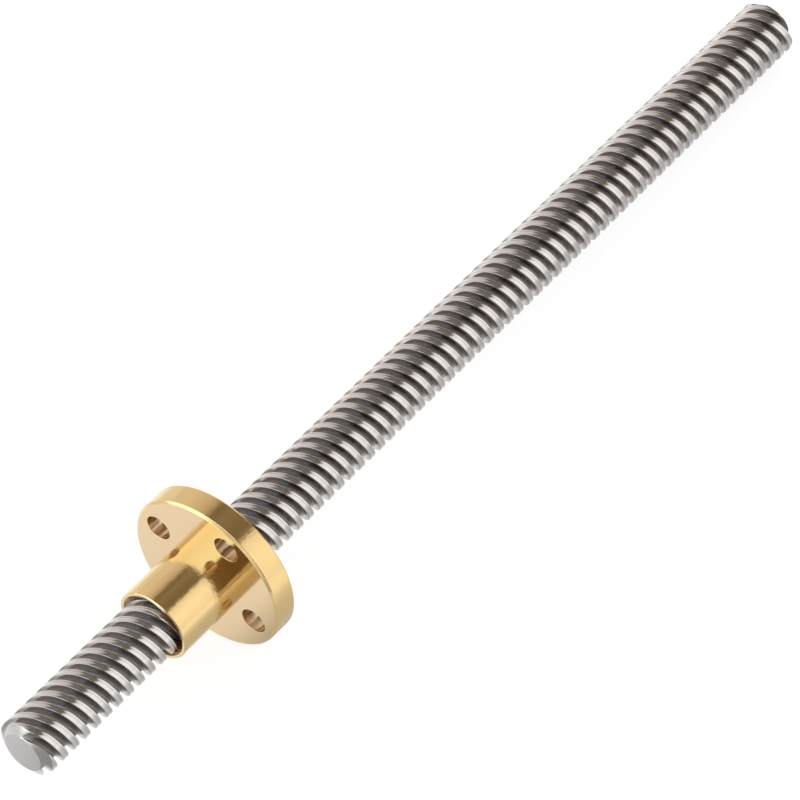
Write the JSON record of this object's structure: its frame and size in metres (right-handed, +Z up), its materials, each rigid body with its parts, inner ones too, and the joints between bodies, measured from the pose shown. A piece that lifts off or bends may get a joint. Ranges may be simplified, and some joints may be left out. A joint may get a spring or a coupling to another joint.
{
  "type": "trapezoidal lead screw with flanged nut",
  "caption": "Steel lead screw with a multi-start trapezoidal thread and a turned brass flanged nut that travels along it, lying on the nut's flange and the screw's far end.",
  "frame": {"origin": "middle of the part's length and width, on the surface it lies on", "axes": "+X along the screw from the nut's end to the far end, +Z up; the screw's own axis slopes down by 3.56 degrees towards +X, because the part rests on the nut's flange and the screw's far end"},
  "size_m": [0.15, 0.0218, 0.0219],
  "materials": {
    "rolled_steel": "bright rolled steel",
    "turned_brass": "bright turned brass"
  },
  "bodies": {
    "screw": {"lead_screw": "rolled_steel"},
    "nut": {"flange_nut": "turned_brass"}
  },
  "joints": [
    {"name": "nut_travel", "type": "slide", "parent": "screw", "child": "nut", "axis": [0.9981, 0, -0.062], "range_m": [-0.022, 0.11]}
  ]
}
